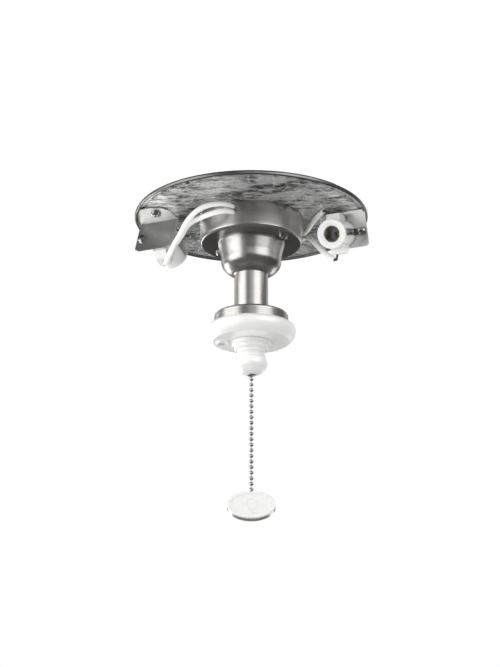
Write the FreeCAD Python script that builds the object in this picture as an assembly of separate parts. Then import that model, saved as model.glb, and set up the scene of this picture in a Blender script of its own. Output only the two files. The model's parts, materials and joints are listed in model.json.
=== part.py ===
import FreeCAD, Part
import math
import os

# Ceiling fan light fitter with a pull chain switch, in millimetres.
# The origin is the centre of the pan's top face, where the fitter meets the fan. +Z is up,
# and everything hangs below z = 0 except the threaded nipple that holds the fitter up.

V = FreeCAD.Vector
UP = V(0, 0, 1)

# ---- pan and its lining ----
PAN_R = 89.0
PAN_T = 0.8
PAN_LIP_Z = -3.5
PAN_BEAD_R = 0.9
PAN_CORNER_R = 1.6
PAD_R = 82.5
PAD_HOLE_R = 39.7
PAD_T = 1.0
FOIL_T = 0.3
NIPPLE_R = 5.15                  # 1/8 IP lamp pipe thread, above the pan
ROD_R = 4.6                      # the thread inside the fitter at its root, where its nuts run
NUT_BORE_R = 4.7
NIPPLE_BORE_R = 3.5
NIPPLE_HOLE_R = 5.3
NIPPLE_TOP_Z = 13.0
NIPPLE_END_Z = -9.0
SUPPLY_HOLE_R = 4.5
SUPPLY_HOLE_AT = 16.0
LINING_SCREW_HOLE_R = 2.3         # in the lining and the bracket's flange

# ---- wiring drum under the pan ----
DRUM_R = 39.2
DRUM_T = 0.9
DRUM_BOTTOM_Z = -22.8
DRUM_EDGE_R = 2.2
DRUM_SCREW_R = 29.0
DRUM_SCREW_ANGLE = -36.0
DRUM_POST_R = 3.2
DRUM_POST_PEG_R = 2.0
DRUM_POST_THREAD_R = 1.95
DRUM_POST_THREAD_L = 10.0
SCREW_HOLE_R = 2.1               # clearance for a number 8 screw
SLOT_X = 14.3
SLOT_W = 5.6
SLOT_TOP_Z = -3.6
SLOT_BOTTOM_Z = -13.2

# ---- cup, stem and switch cap ----
CUP_T = 0.9
CUP_BOTTOM_Z = -48.0
STEM_R = 12.7
STEM_T = 1.0
CAP_TOP_Z = -79.5
CAP_R = 27.7
CAP_T = 0.9
CAP_EDGE_R = 1.8
CAP_RIM_Z = -90.4
CAP_GROOVES = 4
CAP_GROOVE_PITCH = 1.6
CAP_GROOVE_W = 0.5
CAP_GROOVE_DEPTH = 0.25
ROD_TOP_Z = -16.5
ROD_END_Z = -85.6
NUT_AF = 14.3
NUT_H = 3.1
WASHER_T = 0.8
WASHER_R = 8.6
WASHER_BORE_R = 5.25

# ---- white ring, bushing and finial ----
RING_R = 33.2
RING_WAIST_Z = -91.5
RING_BOTTOM_Z = -100.9
RING_FLOOR_T = 1.5
RING_MOUTH_R = 28.05
RING_INNER_R = 25.6
BUSHING_AT = V(-22.0, 0, 0)
BUSHING_R = 4.75
BUSHING_BORE_R = 2.8
BUSHING_HOLE_R = 3.7
FAN_CHAIN_HOLE_R = 3.2
BUSHING_DROP = 1.8
FINIAL_TIP_Z = -126.4
EYELET_BORE_R = 2.1

# ---- pull chain switch ----
SWITCH_R = 10.5
SWITCH_TOP_Z = -86.0
SWITCH_SEAM_Z = -88.0
SWITCH_FLOOR_Z = -97.0
NECK_R = 4.76                    # 3/8 inch neck thread
NECK_BORE_R = 3.5
NECK_END_Z = -110.0
PULL_STROKE = 6.5
PIN_Z = -89.4
SLEEVE_R = 3.3
SLEEVE_TOP_Z = -88.2
SLEEVE_END_Z = -97.2
ROD_COLLAR_Z = -98.2
SPRING_R = 2.55
SPRING_WIRE_R = 0.35
SPRING_TURNS = 5
SPRING_SEAT_Z = -109.0
PULL_ROD_R = 1.5
PULL_ROD_END_Z = -106.7

# ---- bead chain and fob ----
BEAD_R = 1.6
BEAD_PITCH = 4.18
LINK_R = 0.42
PIVOT_Z = -129.7                 # centre of the first bead outside the finial
BEADS_INSIDE = 5
BEADS_BELOW = 20
LINK_GAP = 0.3
FOB_W = 35.1
FOB_H = 21.2
FOB_TOP = 2.6                    # above the bead that it is closed round
FOB_FACE_Y = -2.6
FOB_SEAM_Y = -0.9
FOB_BACK_Y = 5.9
FOB_RIM_W = 2.3
FOB_RECESS = 0.5
FOB_TILT = -11.7                 # it hangs tilted, because most of its weight is behind the bead

# ---- lamp brackets and sockets ----
PLATE_T = 1.0
PLATE_W = 31.5
PLATE_H = 27.6
PLATE_CORNER_R = 3.0
PLATE_TILT = 20.0
FOLD_ANGLE = -23.8
FLANGE_REACH = [(0.0, 0.0), (31.5, 0.0), (32.2, -15.0), (30.0, -22.5), (21.0, -26.8), (-2.0, -27.6)]
FLANGE_TRIM_R = 86.6
BRACKET_SCREW_AT = (21.3, -16.8)
FOLD_START = {"left": (-84.9, 8.5), "right": (85.1, -22.1)}
SOCKET_AT = (20.0, 16.0)
SOCKET_R = 10.7
SOCKET_LIP_R = 11.15
SOCKET_L = 25.0
SOCKET_BORE_R = 6.0              # candelabra (E12) screw shell
SHELL_BACK = 8.0
EAR_W = 10.0
EAR_REACH = 15.3
EAR_BACK = 2.0
EAR_FRONT = 15.5
STRAP_W = 5.0
STRAP_T = 0.6
STRAP_SCREW_X = 4.2
STRAP_HOLE_R = 1.75

# ---- lamp leads ----
SLEEVE_OD = 4.0
SLEEVE_ID = 2.6
WIRE_D = 1.6
SLEEVE_ROUTES = {
    "left_upper": [(-12.0, -33.0, -6.2), (-16.0, -39.0, -6.2), (-24.0, -42.3, -6.5), (-34.3, -42.6, -8.6),
                   (-41.7, -40.0, -12.5), (-47.8, -34.0, -17.2), (-53.3, -24.0, -24.4), (-59.7, -13.5, -30.5),
                   (-65.1, -1.8, -39.2)],
    "left_lower": [(-12.0, -33.0, -10.7), (-16.0, -39.0, -10.9), (-23.2, -41.6, -12.5), (-30.6, -39.4, -13.8),
                   (-38.1, -34.5, -14.8), (-45.0, -28.0, -15.6), (-49.5, -20.5, -17.4), (-52.4, -13.8, -20.8),
                   (-56.6, -8.0, -24.3)],
    "right_upper": [(12.0, 33.0, -6.2), (16.5, 39.0, -6.2), (25.0, 40.5, -6.0), (35.0, 31.5, -5.6),
                    (42.5, 17.0, -5.3), (46.0, 2.0, -5.0), (49.8, -12.0, -4.8), (54.6, -23.8, -4.9)],
    "right_lower": [(12.0, 33.0, -10.7), (16.5, 39.0, -10.9), (24.0, 39.4, -11.0), (33.5, 30.0, -11.0),
                    (41.2, 14.0, -10.6), (46.0, 2.5, -17.0), (51.8, -4.5, -27.3), (57.2, -9.5, -34.9),
                    (62.6, -12.2, -39.6)],
}
# Each wire shows this far past the ends of its sleeve, and then bends into the porcelain or the drum.
WIRE_PAST_TERMINAL = 2.0
WIRE_PAST_DRUM_END = 3.0
# The last stretch of each wire into the porcelain, in the bracket's own frame.
TERMINAL_HOOKS = {
    "left_upper": [(20.1, 31.3, 11.4), (19.5, 28.4, 10.4)],
    "left_lower": [(27.6, 26.2, 7.9), (22.0, 27.5, 9.0)],
    "right_upper": [(24.6, -0.9, 13.9), (21.0, 3.4, 12.6)],
    "right_lower": [(22.1, 32.6, 12.2), (21.6, 29.2, 11.3)],
}
# The wires go on inside the drum to their wire nuts: neutral for the upper pair, lamp for the lower.
DRUM_ROUTES = {
    "left_upper": [(-14.6, -25.5, -6.5), (-13.5, -22.6, -6.4), (-5.5, -22.6, -6.4)],
    "right_upper": [(8.0, 27.0, -6.4), (-6.0, 24.0, -6.4), (-17.0, 15.0, -6.4), (-22.5, 1.0, -6.4),
                    (-20.5, -12.0, -6.4), (-16.0, -20.8, -6.4), (-5.5, -20.8, -6.4)],
    "right_lower": [(14.4, 26.0, -13.5), (13.5, 22.6, -15.0), (5.5, 22.6, -15.0)],
    "left_lower": [(-8.0, -27.0, -12.6), (6.0, -24.0, -14.6), (14.0, -14.0, -15.0), (21.0, -2.0, -15.0),
                   (20.5, 12.0, -15.0), (16.0, 20.8, -15.0), (5.5, 20.8, -15.0)],
}
SWITCH_LEAD_X = 1.7
SWITCH_LEAD_D = 1.9
SWITCH_LEAD_ROUTES = {
    "lamp": [(1.7, 0.0, -86.9), (1.7, 0.0, -14.6), (5.5, 2.2, -12.3), (12.5, 7.0, -13.0),
             (17.6, 15.0, -16.5), (15.2, 21.7, -17.6), (5.5, 21.7, -17.6)],
    "supply": [(-1.7, 0.0, -86.9), (-1.7, 0.0, -14.6), (-5.5, -2.2, -12.3), (-10.0, -3.9, -14.6),
               (-16.0, -3.9, -15.0)],
}
WIRE_NUTS = [
    ((-9.0, -21.7, -6.4), (1.0, 0.0, 0.0)),
    ((9.0, 21.7, -15.6), (-1.0, 0.0, 0.0)),
    ((-12.5, -3.9, -15.0), (-1.0, 0.0, 0.0)),
]
WIRE_NUT_L = 14.0
WIRE_NUT_R = 4.6

PARTS = {}


# ---- shape helpers ----

def edge_chain(start, steps):
    """Edges from start through ("line", end) and ("arc", middle, end) steps, closed at the end."""
    edges, here = [], start
    for step in steps:
        if step[0] == "line":
            edges.append(Part.LineSegment(here, step[1]).toShape())
        else:
            edges.append(Part.Arc(here, step[1], step[2]).toShape())
        here = step[-1]
    if here.distanceToPoint(start) > 1e-6:
        edges.append(Part.LineSegment(here, start).toShape())
    return edges


def lathe(start, *steps):
    """A solid turned about Z from a section given as (radius, z) points."""
    def on_section(point):
        return V(point[0], 0, point[1])

    chain = [(step[0], *[on_section(p) for p in step[1:]]) for step in steps]
    face = Part.Face(Part.Wire(edge_chain(on_section(start), chain)))
    return face.revolve(V(0, 0, 0), UP, 360)


def ring(r_out, r_in, z_low, z_high):
    """A plain round washer or tube about Z."""
    outer = Part.makeCylinder(r_out, z_high - z_low, V(0, 0, z_low))
    return outer.cut(Part.makeCylinder(r_in, z_high - z_low, V(0, 0, z_low)))


def pierce(shape, radius, x, y, z_low, z_high):
    """The shape with an upright round hole in it."""
    return shape.cut(Part.makeCylinder(radius, z_high - z_low, V(x, y, z_low)))


def hex_prism(across_flats, z_low, z_high):
    corner = across_flats / math.sqrt(3)
    angles = [math.radians(60 * i + 30) for i in range(7)]
    outline = Part.makePolygon([V(corner * math.cos(a), corner * math.sin(a), z_low) for a in angles])
    return Part.Face(outline).extrude(V(0, 0, z_high - z_low))


def hex_nut(across_flats, bore_r, z_low, z_high):
    """A hexagon nut whose corners are turned down at both ends."""
    height = z_high - z_low
    corner = across_flats / math.sqrt(3)
    facing = lathe((0, z_low), ("line", (corner - 0.6, z_low)), ("line", (corner, z_low + 0.5)),
                   ("line", (corner, z_low + height - 0.5)), ("line", (corner - 0.6, z_high)),
                   ("line", (0, z_high)))
    return pierce(hex_prism(across_flats, z_low, z_high).common(facing), bore_r, 0, 0, z_low, z_high)


def pan_screw(head_r, head_h, shank_r, shank_l):
    """A cross-recessed pan-head screw: its head stands above z = 0 and its shank goes down."""
    edge = head_h * 0.45
    head = lathe((0, 0), ("line", (head_r, 0)), ("line", (head_r, edge)),
                 ("arc", (head_r * 0.78, head_h * 0.88), (0, head_h)))
    for turn in (0, 90):
        bar = Part.makeBox(head_r * 1.1, head_r * 0.24, head_h, V(-head_r * 0.55, -head_r * 0.12, head_h * 0.45))
        bar.rotate(V(0, 0, 0), UP, turn)
        head = head.cut(bar)
    return head.fuse(Part.makeCylinder(shank_r, shank_l + 0.2, V(0, 0, -shank_l)))


def route_wire(points):
    """Straight runs joined by tangent arcs through a cord's points, and the arcs' radii."""
    points = [V(*p) for p in points]
    edges, radii, here = [], [], points[0]
    for before, corner, after in zip(points, points[1:], points[2:]):
        into, out = (corner - before).normalize(), (after - corner).normalize()
        half_turn = into.getAngle(out) / 2
        trim = 0.45 * min(before.distanceToPoint(corner), corner.distanceToPoint(after))
        radius = trim / math.tan(half_turn)
        start, end = corner - into * trim, corner + out * trim
        bisector = (out - into).normalize()
        middle = corner + bisector * (radius / math.cos(half_turn) - radius)
        edges.append(Part.LineSegment(here, start).toShape())
        edges.append(Part.Arc(start, middle, end).toShape())
        radii.append(radius)
        here = end
    edges.append(Part.LineSegment(here, points[-1]).toShape())
    return Part.Wire(edges), radii


def cord(name, points, diameter):
    """A round cord along its route. It prints its bends and checks its volume."""
    path, radii = route_wire(points)
    start = V(*points[0])
    heading = (V(*points[1]) - start).normalize()
    section = Part.Wire([Part.makeCircle(diameter / 2, start, heading)])
    solid = path.makePipeShell([section], True, False)
    expected = math.pi * diameter ** 2 / 4 * path.Length
    print(f"{name}: length {path.Length:.1f}, tightest bend {min(radii):.1f}, "
          f"volume {solid.Volume / expected:.4f} of section x length")
    return solid


def union(shapes):
    """One solid from several that overlap or share a face."""
    whole = shapes[0].multiFuse(shapes[1:])
    return whole.removeSplitter()


def save(name, *solids):
    PARTS[name] = solids[0] if len(solids) == 1 else Part.makeCompound(list(solids))


def turned_about_z(shape, angle):
    copy = shape.copy()
    copy.rotate(V(0, 0, 0), UP, angle)
    return copy


# ---- pan, lining and nipple ----

def drum_screw_points():
    angles = [math.radians(DRUM_SCREW_ANGLE + turn) for turn in (0, 180)]
    return [V(DRUM_SCREW_R * math.cos(a), DRUM_SCREW_R * math.sin(a), 0) for a in angles]


def bracket_screw_points():
    return [flange_point(side, *BRACKET_SCREW_AT) for side in FOLD_START]


def make_pan():
    inner = PAN_R - PAN_T
    bead_z = PAN_LIP_Z + PAN_BEAD_R
    bead_mid = PAN_R - PAN_BEAD_R
    corner = PAN_CORNER_R * (1 - math.sqrt(0.5))
    pan = lathe((NIPPLE_HOLE_R, 0), ("line", (PAN_R - PAN_CORNER_R, 0)),
                ("arc", (PAN_R - corner, -corner), (PAN_R, -PAN_CORNER_R)),
                ("line", (PAN_R, bead_z)),
                ("arc", (bead_mid, PAN_LIP_Z), (bead_mid - PAN_BEAD_R, bead_z)),
                ("line", (inner, bead_z + 0.6)), ("line", (inner, -PAN_T)), ("line", (NIPPLE_HOLE_R, -PAN_T)))
    for sign in (1, -1):
        pan = pierce(pan, SUPPLY_HOLE_R, 0, sign * SUPPLY_HOLE_AT, -2, 1)
    for point in drum_screw_points():
        pan = pierce(pan, DRUM_POST_PEG_R + 0.05, point.x, point.y, -2, 1)
    for point in bracket_screw_points():
        pan = pierce(pan, SCREW_HOLE_R, point.x, point.y, -2, 1)
    save("pan", pan)


def make_lining():
    pad_low = -PAN_T - PAD_T
    layers = {"insulation_pad": (pad_low, -PAN_T), "foil_facing": (pad_low - FOIL_T, pad_low)}
    for name, (low, high) in layers.items():
        layer = ring(PAD_R, PAD_HOLE_R, low, high)
        for point in bracket_screw_points():
            layer = pierce(layer, LINING_SCREW_HOLE_R, point.x, point.y, low, high)
        save(name, layer)


def make_nipple():
    upper = ring(NIPPLE_R, NIPPLE_BORE_R, 0, NIPPLE_TOP_Z)
    save("pan_nipple", union([upper, ring(ROD_R, NIPPLE_BORE_R, NIPPLE_END_Z, 0)]))


# ---- wiring drum ----

def wall_slot(sign):
    """The upright round-ended slot that a pair of lamp leads comes through."""
    r = SLOT_W / 2
    low, high = SLOT_BOTTOM_Z + r, SLOT_TOP_Z - r
    depth = 12.0
    y = sign * DRUM_R - depth / 2
    body = Part.makeBox(SLOT_W, depth, high - low, V(sign * SLOT_X - r, y, low))
    ends = [Part.makeCylinder(r, depth, V(sign * SLOT_X, y, z), V(0, 1, 0)) for z in (low, high)]
    return union([body, *ends])


def make_drum():
    r, edge, floor = DRUM_R, DRUM_EDGE_R, DRUM_BOTTOM_Z
    corner = edge * (1 - math.sqrt(0.5))
    inner_edge = edge - DRUM_T
    inner_corner = DRUM_T + inner_edge * (1 - math.sqrt(0.5))
    drum = lathe((NIPPLE_HOLE_R, floor), ("line", (r - edge, floor)),
                 ("arc", (r - corner, floor + corner), (r, floor + edge)), ("line", (r, -PAN_T)),
                 ("line", (r - DRUM_T, -PAN_T)), ("line", (r - DRUM_T, floor + edge)),
                 ("arc", (r - inner_corner, floor + inner_corner), (r - edge, floor + DRUM_T)),
                 ("line", (NIPPLE_HOLE_R, floor + DRUM_T)))
    for sign in (1, -1):
        drum = drum.cut(wall_slot(sign))
    for point in drum_screw_points():
        drum = pierce(drum, SCREW_HOLE_R, point.x, point.y, floor - 1, floor + 2)
    save("drum", drum)


def make_drum_fixings():
    """Two threaded posts swaged into the pan, and the screws that hold the drum up to them."""
    top, low = -PAN_T, DRUM_BOTTOM_Z + DRUM_T
    posts, screws = [], []
    for point in drum_screw_points():
        post = Part.makeCylinder(DRUM_POST_R, top - low, V(point.x, point.y, low))
        post = post.fuse(Part.makeCylinder(DRUM_POST_PEG_R, PAN_T, V(point.x, point.y, top)))
        posts.append(pierce(post, DRUM_POST_THREAD_R, point.x, point.y, low, low + DRUM_POST_THREAD_L))
        screw = pan_screw(3.7, 2.3, 1.9, 8.0)
        screw.rotate(V(0, 0, 0), V(1, 0, 0), 180)
        screw.rotate(V(0, 0, 0), UP, 25)
        screw.translate(V(point.x, point.y, DRUM_BOTTOM_Z))
        screws.append(screw)
    save("drum_posts", *posts)
    save("drum_screws", *screws)


# ---- cup, stem, cap and the rod that clamps them ----

def make_cup():
    t, top, floor = CUP_T, DRUM_BOTTOM_Z, CUP_BOTTOM_Z
    save("cup", lathe(
        (25.3, top), ("line", (25.3, top - 0.8)), ("arc", (25.15, top - 1.3), (24.9, top - 1.8)),
        ("line", (23.15, -33.0)), ("arc", (22.93, -34.8), (22.85, -36.6)), ("arc", (22.5, -39.3), (21.4, -41.8)),
        ("arc", (18.4, -44.9), (13.4, floor + 0.5)), ("line", (12.9, floor)), ("line", (NIPPLE_HOLE_R, floor)),
        ("line", (NIPPLE_HOLE_R, floor + t)), ("line", (12.9, floor + t)), ("arc", (17.8, -44.2), (20.65, -41.31)),
        ("arc", (21.63, -39.06), (21.95, -36.6)), ("arc", (22.03, -34.73), (22.27, -32.84)),
        ("line", (24.0, top - 1.8)), ("line", (24.0, top))))


def make_stem():
    save("stem_tube", ring(STEM_R, STEM_R - STEM_T, CAP_TOP_Z, CUP_BOTTOM_Z))
    save("stem_rod", ring(ROD_R, NIPPLE_BORE_R, ROD_END_Z, ROD_TOP_Z))


def make_pipe_fixings():
    """A washer and a nut under the pan, a nut on the drum's floor, and a washer and a nut under the bridge."""
    bridge_low = CAP_TOP_Z - CAP_T - 1.0
    save("lock_washers", *[ring(WASHER_R, WASHER_BORE_R, z - WASHER_T, z) for z in (-PAN_T, bridge_low)])
    nut_lows = (-PAN_T - WASHER_T - NUT_H, DRUM_BOTTOM_Z + DRUM_T, bridge_low - WASHER_T - NUT_H)
    save("pipe_nuts", *[hex_nut(NUT_AF, NUT_BORE_R, z, z + NUT_H) for z in nut_lows])


def make_cap():
    r, edge, top = CAP_R, CAP_EDGE_R, CAP_TOP_Z
    corner = edge * (1 - math.sqrt(0.5))
    inner_edge = edge - CAP_T
    inner_corner = CAP_T + inner_edge * (1 - math.sqrt(0.5))
    cap = lathe((NIPPLE_HOLE_R, top), ("line", (r - edge, top)),
                ("arc", (r - corner, top - corner), (r, top - edge)), ("line", (r, CAP_RIM_Z)),
                ("line", (r - CAP_T, CAP_RIM_Z)), ("line", (r - CAP_T, top - edge)),
                ("arc", (r - inner_corner, top - inner_corner), (r - edge, top - CAP_T)),
                ("line", (NIPPLE_HOLE_R, top - CAP_T)))
    for i in range(CAP_GROOVES):
        z = top - edge - CAP_GROOVE_PITCH * (i + 1)
        cap = cap.cut(ring(r + 1, r - CAP_GROOVE_DEPTH, z - CAP_GROOVE_W / 2, z + CAP_GROOVE_W / 2))
    save("switch_cap", pierce(cap, FAN_CHAIN_HOLE_R, BUSHING_AT.x, BUSHING_AT.y, top - 2, top + 1))


def make_bridge():
    """A strap bent into a closed box: the stem's nut clamps its top and the switch hangs in its floor."""
    top, floor, half, width = CAP_TOP_Z - CAP_T, SWITCH_FLOOR_Z - 1.0, 13.0, 12.0
    outer = Part.makeBox(2 * half, width, top - floor, V(-half, -width / 2, floor))
    inner = Part.makeBox(2 * half - 2, width, top - floor - 2, V(1 - half, -width / 2, floor + 1))
    bridge = outer.makeFillet(1.6, [e for e in outer.Edges if abs(e.BoundBox.YLength - width) < 0.01])
    bridge = pierce(bridge.cut(inner), NIPPLE_HOLE_R, 0, 0, top - 2, top + 1)
    save("switch_bridge", pierce(bridge, NECK_R + 0.1, 0, 0, floor - 1, floor + 2))


# ---- white ring, bushing and finial ----

def make_ring():
    floor = RING_BOTTOM_Z
    body = lathe(
        (RING_MOUTH_R, -88.5), ("line", (29.6, -88.25)), ("arc", (32.1, -89.2), (RING_R, RING_WAIST_Z)),
        ("arc", (32.3, -96.4), (29.4, -100.0)), ("arc", (28.9, -100.6), (28.0, floor)),
        ("line", (NECK_R + 0.15, floor)), ("line", (NECK_R + 0.15, floor + RING_FLOOR_T)),
        ("line", (RING_INNER_R, floor + RING_FLOOR_T)), ("line", (RING_INNER_R, CAP_RIM_Z)),
        ("line", (RING_MOUTH_R, CAP_RIM_Z)))
    x, y = BUSHING_AT.x, BUSHING_AT.y
    save("bowl_ring", pierce(body, BUSHING_HOLE_R, x, y, floor - 1, floor + 3))
    head, top = floor - BUSHING_DROP, floor + RING_FLOOR_T + 0.7
    bore = BUSHING_BORE_R
    shank = BUSHING_HOLE_R - 0.1
    bushing = lathe((bore, top), ("line", (shank, top)), ("line", (shank, floor)), ("line", (BUSHING_R, floor)),
                    ("line", (BUSHING_R, floor - 0.5)), ("arc", (BUSHING_R - 0.4, head + 0.35), (BUSHING_R - 1.4, head)),
                    ("line", (bore, head)))
    bushing.translate(BUSHING_AT)
    save("chain_bushing", bushing)


def make_finial():
    top, tip = RING_BOTTOM_Z, FINIAL_TIP_Z
    save("finial", lathe(
        (NECK_R + 0.08, top), ("line", (14.2, top)), ("arc", (14.8, top - 0.3), (14.9, top - 1.2)),
        ("arc", (14.7, -103.6), (14.0, -104.6)), ("line", (13.1, -104.7)), ("line", (12.9, -105.2)),
        ("arc", (12.8, -106.6), (11.8, -107.6)), ("line", (10.8, -107.7)), ("line", (10.6, -108.2)),
        ("arc", (10.4, -109.6), (9.3, -110.6)), ("line", (8.8, -110.8)), ("line", (8.8, -111.4)),
        ("line", (9.6, -111.9)), ("arc", (10.6, -112.5), (10.4, -113.6)), ("line", (10.2, -113.9)),
        ("arc", (12.04, -118.0), (10.4, -122.0)),
        ("arc", (7.6, -124.9), (3.6, tip)), ("line", (2.75, tip)), ("line", (2.75, NECK_END_Z - 0.6)),
        ("line", (NECK_R + 0.08, NECK_END_Z - 0.6))))
    save("chain_eyelet", lathe(
        (EYELET_BORE_R, tip + 4), ("line", (2.7, tip + 4)), ("line", (2.7, tip)), ("line", (3.4, tip)),
        ("arc", (3.2, tip - 0.45), (2.7, tip - 0.6)), ("line", (EYELET_BORE_R + 0.3, tip - 0.6)),
        ("line", (EYELET_BORE_R, tip - 0.3))))


# ---- pull chain switch ----

def make_switch_case():
    case = ring(SWITCH_R, SWITCH_R - 0.9, SWITCH_FLOOR_Z + 0.8, SWITCH_SEAM_Z)
    floor = ring(SWITCH_R, NECK_R + 0.05, SWITCH_FLOOR_Z, SWITCH_FLOOR_Z + 0.8)
    save("switch_case", union([case, floor]))
    cover = Part.makeCylinder(SWITCH_R, SWITCH_TOP_Z - SWITCH_SEAM_Z, V(0, 0, SWITCH_SEAM_Z))
    for sign in (1, -1):
        cover = pierce(cover, SWITCH_LEAD_D / 2 + 0.1, sign * SWITCH_LEAD_X, 0, SWITCH_TOP_Z - 1.0, SWITCH_TOP_Z)
    save("switch_cover", cover)
    flange_low = SWITCH_FLOOR_Z + 0.8
    save("switch_neck", lathe(
        (NECK_BORE_R, flange_low + 0.8), ("line", (6.2, flange_low + 0.8)), ("line", (6.2, flange_low)),
        ("line", (NECK_R, flange_low)), ("line", (NECK_R, NECK_END_Z + 0.4)), ("line", (NECK_R - 0.4, NECK_END_Z)),
        ("line", (2.0, NECK_END_Z)), ("line", (2.0, SPRING_SEAT_Z)), ("line", (NECK_BORE_R, SPRING_SEAT_Z))))
    nut_top = SWITCH_FLOOR_Z - 1.0
    save("switch_nut", hex_nut(12.7, NECK_R + 0.05, nut_top - 1.35, nut_top))


def helical_slot(phase):
    """The path of the pull rod's cross pin in the drive sleeve, which turns a quarter turn over the stroke."""
    holes, steps = [], 22
    for step in range(steps + 1):
        share = step / steps
        angle = math.radians(phase - 90 * share)
        z = PIN_Z - PULL_STROKE * share
        holes.append(Part.makeCylinder(0.62, SLEEVE_R + 1, V(0, 0, z), V(math.cos(angle), math.sin(angle), 0)))
    return holes[0].multiFuse(holes[1:])


def make_drive_sleeve():
    """It turns a quarter turn as the pull rod goes down, and its teeth push the contact rotor round."""
    sleeve = ring(SLEEVE_R, PULL_ROD_R + 0.15, SLEEVE_END_Z, SLEEVE_TOP_Z)
    for phase in (0, 180):
        sleeve = sleeve.cut(helical_slot(phase))
    save("drive_sleeve", sleeve)


def make_contact_rotor():
    low, high = SWITCH_FLOOR_Z + 1.9, -91.2
    rotor = ring(7.4, SLEEVE_R + 0.25, low, high)
    for turn in range(0, 360, 45):
        notch = Part.makeBox(1.2, 1.6, high - low, V(6.7, -0.8, low))
        rotor = rotor.cut(turned_about_z(notch, turn))
    save("contact_rotor", rotor)
    bar = ring(8.6, 4.2, high, high + 0.5)
    gap = Part.makeBox(20, 7.0, 1.0, V(-10, -3.5, high - 0.2))
    save("contact_bars", *bar.cut(gap).Solids)


def make_contact_blades():
    blades = []
    for sign in (1, -1):
        leg = Part.makeBox(0.5, 3.0, 2.1, V(6.6, -1.5, -90.1))
        foot = Part.makeBox(2.0, 3.0, 0.4, V(5.4, -1.5, -90.4))
        blade = union([leg, foot])
        blades.append(turned_about_z(blade, 90 if sign > 0 else -90))
    save("contact_blades", *blades)


def make_pull_rod():
    rod = Part.makeCylinder(PULL_ROD_R, PIN_Z + 0.8 - PULL_ROD_END_Z, V(0, 0, PULL_ROD_END_Z))
    collar = Part.makeCylinder(3.1, 0.8, V(0, 0, ROD_COLLAR_Z))
    hole = Part.makeCylinder(0.47, 8, V(-4, 0, PIN_Z), V(1, 0, 0))
    save("pull_rod", union([rod, collar]).cut(hole))
    save("cross_pin", Part.makeCylinder(0.45, 5.8, V(-2.9, 0, PIN_Z), V(1, 0, 0)))


def make_spring():
    r = SPRING_WIRE_R
    height = ROD_COLLAR_Z - SPRING_SEAT_Z - 2 * r
    helix = Part.makeHelix(height / SPRING_TURNS, height, SPRING_R)
    helix.translate(V(0, 0, SPRING_SEAT_Z + r))
    start = helix.Edges[0].valueAt(helix.Edges[0].FirstParameter)
    heading = helix.Edges[0].tangentAt(helix.Edges[0].FirstParameter)
    section = Part.Wire([Part.makeCircle(r, start, heading)])
    save("return_spring", Part.Wire(helix.Edges).makePipeShell([section], True, True))


# ---- bead chain and fob ----

def beads(z_values, link_low, link_high):
    """Beads on one length of link wire."""
    balls = [Part.makeSphere(BEAD_R, V(0, 0, z)) for z in z_values]
    wire = Part.makeCylinder(LINK_R, link_high - link_low, V(0, 0, link_low))
    return union([wire, *balls])


def make_chain():
    inside = [PIVOT_Z + BEAD_PITCH * i for i in range(1, BEADS_INSIDE + 1)]
    save("chain_in_finial", beads(inside, PIVOT_Z + BEAD_R + LINK_GAP, PULL_ROD_END_Z))
    save("pivot_bead", Part.makeSphere(BEAD_R, V(0, 0, PIVOT_Z)))
    below = [PIVOT_Z - BEAD_PITCH * i for i in range(1, BEADS_BELOW + 1)]
    save("chain_below", beads(below, below[-1], PIVOT_Z - BEAD_R - LINK_GAP))
    caught = below[-1] - BEAD_PITCH
    save("caught_bead", beads([caught], caught, below[-1] - BEAD_R - LINK_GAP))
    return caught


def oval(width, height, y_low, y_high, z):
    ellipse = Part.Ellipse(V(0, y_low, z), width / 2, height / 2)
    ellipse.Axis = V(0, 1, 0)
    ellipse.XAxis = V(1, 0, 0)
    return Part.Face(Part.Wire([ellipse.toShape()])).extrude(V(0, y_high - y_low, 0))


def make_fob(caught_z):
    """An oval medallion in two halves, which close round the chain's last bead."""
    z = caught_z + FOB_TOP - FOB_H / 2
    pivot = V(0, 0, caught_z)
    body = oval(FOB_W, FOB_H, FOB_FACE_Y, FOB_BACK_Y, z)
    for y, radius in ((FOB_FACE_Y, 0.7), (FOB_BACK_Y, 2.2)):
        rim = [e for e in body.Edges if abs(e.BoundBox.YMin - y) < 0.01 and e.BoundBox.YLength < 0.01]
        body = body.makeFillet(radius, rim)
    body = body.cut(Part.makeSphere(BEAD_R + 0.12, pivot))
    body = body.cut(Part.makeBox(2 * LINK_R + 0.5, 3.2, FOB_TOP, pivot + V(-LINK_R - 0.25, -2.2, 1.1)))
    body = body.cut(Part.makeBox(2 * BEAD_R + 0.3, 6.0, FOB_TOP, pivot + V(-BEAD_R - 0.15, -3.6, FOB_TOP - 0.75)))
    body = body.cut(oval(FOB_W - 2 * FOB_RIM_W, FOB_H - 2 * FOB_RIM_W, FOB_FACE_Y, FOB_FACE_Y + FOB_RECESS, z))
    ahead = Part.makeBox(FOB_W + 4, 10, FOB_H + 4, V(-FOB_W / 2 - 2, FOB_SEAM_Y - 10, z - FOB_H / 2 - 2))
    back = body.cut(ahead).Solids[0]
    front = union([body.common(ahead), *emblem(z, FOB_FACE_Y + FOB_RECESS)])
    for name, half in (("fob_front", front), ("fob_back", back)):
        half.rotate(pivot, V(1, 0, 0), FOB_TILT)
        save(name, half)


def emblem(z, y):
    """A plain raised light-bulb sign: a round bulb above a base of three bars."""
    proud, depth = 0.35, 0.6
    globe = Part.makeCylinder(4.2, depth, V(0, y - proud, z + 0.6), V(0, 1, 0))
    hollow = Part.makeCylinder(3.4, depth, V(0, y - proud, z + 0.6), V(0, 1, 0))
    bars = [Part.makeBox(width, depth, 0.8, V(-width / 2, y - proud, z - drop))
            for width, drop in ((4.0, 4.7), (4.0, 6.0), (2.4, 7.3))]
    return [globe.cut(hollow), *bars]


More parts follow.
